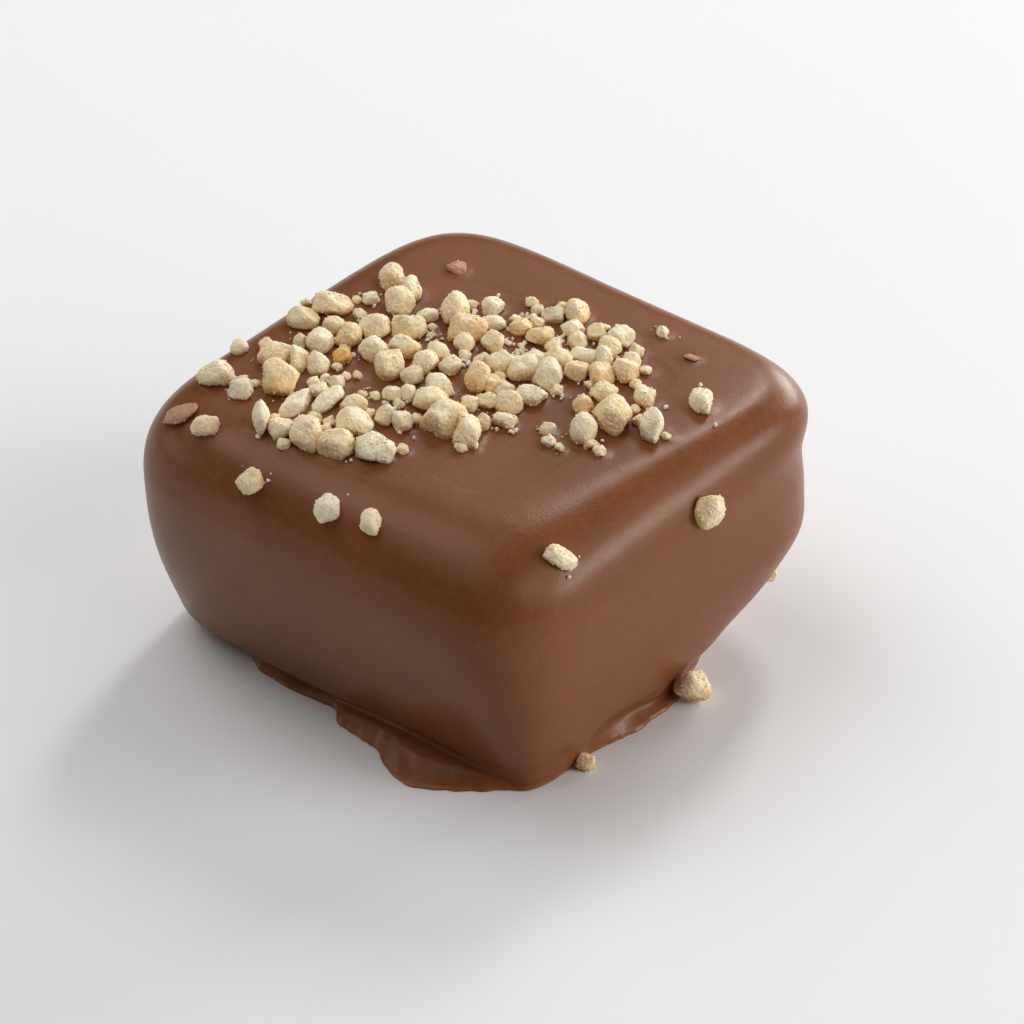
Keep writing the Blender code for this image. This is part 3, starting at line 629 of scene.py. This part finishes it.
def make_coating(finish, nuts):
    """The coating: its rings skinned, then its waves, and the collars round the nuts."""
    rings = coating_rings()
    points = np.concatenate([[(0.0, 0.0, HEIGHT)]] + rings + [[(0.0, 0.0, 0.0)]])
    first, last = 0, len(points) - 1
    faces = []
    for i in range(COLUMNS):
        j = (i + 1) % COLUMNS
        faces.append((first, 1 + i, 1 + j))
        faces.append((last, last - COLUMNS + j, last - COLUMNS + i))
        for ring in range(len(rings) - 1):
            upper, lower = 1 + ring * COLUMNS, 1 + (ring + 1) * COLUMNS
            faces.append((upper + i, lower + i, lower + j, upper + j))
    standing = np.clip(points[:, 2] / WAVES_FULL, 0.0, 1.0)
    long_wave = LONG_WAVES[1] * (rough(points, LONG_WAVES[0]) - 1) / 2
    short_wave = SHORT_WAVES[1] * (rough(points, SHORT_WAVES[0], 2) - 1) / 2
    outwards = points - np.array((0.0, 0.0, HEIGHT / 2))
    flat = np.abs(outwards[:, 2]) > HEIGHT / 2 - 0.01
    outwards[:, 2] = np.where(flat, 40.0, outwards[:, 2] ** 3 / 60)
    outwards /= np.linalg.norm(outwards, axis=1)[:, None]
    points = points + outwards * ((long_wave + short_wave) * standing)[:, None]
    top = points[:, 2] > HEIGHT - TOP_DEPTH
    raised = np.zeros(len(points))
    for _, place, _, size, _ in nuts:
        if place.z > HEIGHT - TOP_NUTS:
            apart = np.hypot(points[top, 0] - place.x, points[top, 1] - place.y)
            past = np.maximum(apart - size[:2].mean() * COLLAR_SHARE, 0.0)
            raised[top] = np.maximum(raised[top], COLLAR_HEIGHT * bell(past, COLLAR_WIDTH))
    points[:, 2] += raised
    thin = np.clip(1 - points[:, 2] / THIN_FOOT, 0.0, 1.0)
    mesh_piece("coating", points, faces, finish, {"thin": thin})


# Where a Mix node keeps the sockets of its two colours, and its colour result
MIX_COLOURS = (6, 7)
MIX_RESULT = 2


class Value:
    """A number or colour that changes over a surface. Arithmetic on it adds Math nodes."""

    def __init__(self, finish, socket):
        self.finish = finish
        self.socket = socket

    def math(self, operation, first, second):
        return self.finish.node("ShaderNodeMath", {"operation": operation}, {0: first, 1: second})

    def __add__(self, other):
        return self.math("ADD", self, other)

    def __radd__(self, other):
        return self.math("ADD", other, self)

    def __sub__(self, other):
        return self.math("SUBTRACT", self, other)

    def __rsub__(self, other):
        return self.math("SUBTRACT", other, self)

    def __mul__(self, other):
        return self.math("MULTIPLY", self, other)

    def __rmul__(self, other):
        return self.math("MULTIPLY", other, self)

    def eased(self, low, high):
        """0 below the low value and 1 above the high one, smoothly between."""
        settings = {"interpolation_type": "SMOOTHSTEP"}
        sockets = {"Value": self, "From Min": low, "From Max": high}
        return self.finish.node("ShaderNodeMapRange", settings, sockets)


class Finish:
    """The nodes of one material."""

    def __init__(self, name, **constants):
        self.material = bpy.data.materials.new(name)
        self.material.use_nodes = True
        self.nodes = self.material.node_tree.nodes
        self.shader = self.nodes["Principled BSDF"]
        for socket, value in constants.items():
            self.shader.inputs[socket.replace("_", " ")].default_value = value
        place = self.node("ShaderNodeTexCoord", output="Object")
        sockets = {0: place, "Scale": 1 / MM}
        self.millimetres = self.node("ShaderNodeVectorMath", {"operation": "SCALE"}, sockets)

    def node(self, kind, settings=None, sockets=None, output=0):
        """A node with its settings, then the values or links of its sockets."""
        made = self.nodes.new(kind)
        for key, value in (settings or {}).items():
            setattr(made, key, value)
        for key, value in (sockets or {}).items():
            self.feed(made.inputs[key], value)
        return Value(self, made.outputs[output])

    def feed(self, socket, value):
        if isinstance(value, Value):
            self.material.node_tree.links.new(value.socket, socket)
        else:
            socket.default_value = value

    def noise(self, size, detail=2.0, roughness=0.5):
        """Noise from 0 to 1, its lumps about that many millimetres across."""
        sockets = {"Vector": self.millimetres, "Scale": 1 / size, "Detail": detail, "Roughness": roughness}
        return self.node("ShaderNodeTexNoise", None, sockets)

    def attribute(self, name):
        return self.node("ShaderNodeAttribute", {"attribute_name": name}, output="Fac")

    def mixed(self, share, first, second):
        """One colour turning into another as share goes from 0 to 1."""
        sockets = {0: share, MIX_COLOURS[0]: first, MIX_COLOURS[1]: second}
        return self.node("ShaderNodeMix", {"data_type": "RGBA"}, sockets, MIX_RESULT)

    def bump(self, height, depth):
        """The surface raised by height times depth, which is in millimetres."""
        return self.node("ShaderNodeBump", None, {"Height": height, "Distance": depth * MM, "Strength": 1.0})

    def wear(self, **looks):
        """Links what changes over the surface to the shader."""
        for socket, value in looks.items():
            self.feed(self.shader.inputs[socket.replace("_", " ")], value)
        return self.material


def colour(red, green, blue):
    """A colour as it is read off a screen, from 0 to 255, made linear."""
    def linear(value):
        value = value / 255
        return value / 12.92 if value <= 0.04045 else ((value + 0.055) / 1.055) ** 2.4
    return linear(red), linear(green), linear(blue), 1.0


def chocolate_finish():
    """Milk chocolate, clouded, mottled and specked, and paler where it ran out thin."""
    finish = Finish("milk_chocolate", IOR=1.46, Specular_IOR_Level=0.31, Specular_Tint=(1.0, 0.93, 0.82, 1.0))
    cloud = finish.noise(5.0, 3.0).eased(0.35, 0.65)
    mottle = finish.noise(0.35, 3.0, 0.6).eased(0.3, 0.7)
    speck = finish.noise(0.11, 2.0, 0.6)
    thin = finish.attribute("thin").eased(0.3, 1.0)
    body = finish.mixed(cloud, colour(117, 66, 34), colour(124, 71, 38))
    body = finish.mixed(mottle * 0.3, body, colour(132, 82, 46))
    body = finish.mixed(speck.eased(0.5, 0.8) * 0.3, body, colour(156, 104, 66))
    body = finish.mixed((1 - speck).eased(0.5, 0.8) * 0.2, body, colour(88, 48, 24))
    body = finish.mixed(thin * 0.6, body, colour(150, 92, 42))
    fine = finish.noise(0.14, 2.0)
    normal = finish.bump(fine, 0.007)
    return finish.wear(Base_Color=body, Roughness=0.28 + 0.08 * mottle, Normal=normal)


def nut_finish(name, pale, cream, golden, gloss, dust_and_highlight_share=0.75, depth=0.2):
    """Chopped nut of three shades: its lower side turned golden as painted shade, pale dust on its grains
    with a painted highlight that makes its top paler; light goes depth millimetres into it.
    """
    finish = Finish(
        name, IOR=1.45, Roughness=0.9 - gloss * 0.7, Subsurface_Weight=0.5 if depth else 0.0,
        Subsurface_Radius=(1.0, 0.85, 0.65), Subsurface_Scale=depth * MM,
    )
    tone = finish.attribute("tone")
    rise = finish.attribute("rise")
    crust = finish.attribute("crust")
    patch = finish.noise(0.6, 2.0)
    grain = finish.noise(0.12, 3.0, 0.65)
    # painted shade: the lower side of each nut, by how high the point is on it, turns golden
    painted_underside_shade = (patch + (0.5 - rise) * 0.7).eased(0.4, 0.85)
    body = finish.mixed((tone + patch - 0.5).eased(0.1, 0.9), colour(*pale), colour(*cream))
    body = finish.mixed(painted_underside_shade * 0.85, body, colour(*golden))
    body = finish.mixed((1.0 - crust).eased(0.4, 1.0) * 0.35, body, colour(*golden))
    # pale dust on the grains of the crust, and a painted highlight that makes the top of the nut paler
    dust_and_painted_highlight = (rise * 0.45 + patch * 0.5 + grain * 0.6 + crust * 0.25).eased(0.9, 1.35)
    body = finish.mixed(dust_and_painted_highlight * dust_and_highlight_share, body, colour(252, 243, 220))
    normal = finish.bump(grain, 0.05)
    return finish.wear(Base_Color=body, Normal=normal)


def add_light(name, turn, rise, width, height, power):
    """A soft light that faces the praline, turned from +X and risen from the table in degrees."""
    data = bpy.data.lights.new(name, "AREA")
    data.shape = "RECTANGLE"
    data.size = width * MM
    data.size_y = height * MM
    data.energy = power
    light = bpy.data.objects.new(name, data)
    turned = Matrix.Rotation(math.radians(turn), 3, "Z")
    risen = Matrix.Rotation(-math.radians(rise), 3, "Y")
    away = turned @ risen @ Vector((1, 0, 0))
    light.location = away * LIGHT_DISTANCE * MM + Vector((0, 0, HEIGHT / 2 * MM))
    light.rotation_euler = away.to_track_quat("Z", "Y").to_euler()
    bpy.context.scene.collection.objects.link(light)


def floor_finish():
    finish = Finish("pale_table", Roughness=0.6)
    cloud = finish.noise(60.0)
    return finish.wear(Base_Color=finish.mixed(cloud, (0.86, 0.86, 0.86, 1), (0.89, 0.89, 0.89, 1)))


def make_room():
    """The table, the lights and a faint light from all round."""
    bm = bmesh.new()
    bmesh.ops.create_grid(bm, x_segments=8, y_segments=8, size=1.5)
    mesh = bpy.data.meshes.new("table_top")
    bm.to_mesh(mesh)
    bm.free()
    mesh.materials.append(floor_finish())
    table = bpy.data.objects.new("table_top", mesh)
    bpy.context.scene.collection.objects.link(table)
    for light in LIGHTS:
        add_light(*light)
    world = bpy.data.worlds.new("room")
    world.use_nodes = True
    world.node_tree.nodes["Background"].inputs["Color"].default_value = (1.0, 1.0, 1.0, 1.0)
    world.node_tree.nodes["Background"].inputs["Strength"].default_value = 0.01
    bpy.context.scene.world = world
    view = bpy.context.scene.view_settings
    view.view_transform = "Standard"
    view.look = "None"


def make_camera():
    """A camera that sees the praline as it was photographed, from over its front corner."""
    level = math.cos(VIEW_RISE)
    back = Vector((math.sin(VIEW_TURN) * level, -math.cos(VIEW_TURN) * level, math.sin(VIEW_RISE)))
    right = Vector((math.cos(VIEW_TURN), math.sin(VIEW_TURN), 0.0))
    up = back.cross(right)
    data = bpy.data.cameras.new("camera")
    data.sensor_width = SENSOR
    data.lens = PIXELS_PER_MM * VIEW_DISTANCE / PICTURE * SENSOR
    data.shift_x = (PICTURE / 2 - AIM_PIXEL[0]) / PICTURE
    data.shift_y = (AIM_PIXEL[1] - PICTURE / 2) / PICTURE
    data.clip_start = 0.01
    camera = bpy.data.objects.new("camera", data)
    aim = Vector((BLOCK_SHIFT, 0.0, AIM_HEIGHT * MM))
    turn = Matrix((right, up, back)).transposed().to_4x4()
    camera.matrix_world = Matrix.Translation(aim + back * VIEW_DISTANCE * MM) @ turn
    bpy.context.scene.collection.objects.link(camera)
    bpy.context.scene.camera = camera


# The frame's origin is under the middle of the whole, the block's under the middle of its top
BLOCK_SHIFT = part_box("praline")[0][0] + SIDE / 2 * MM

main()
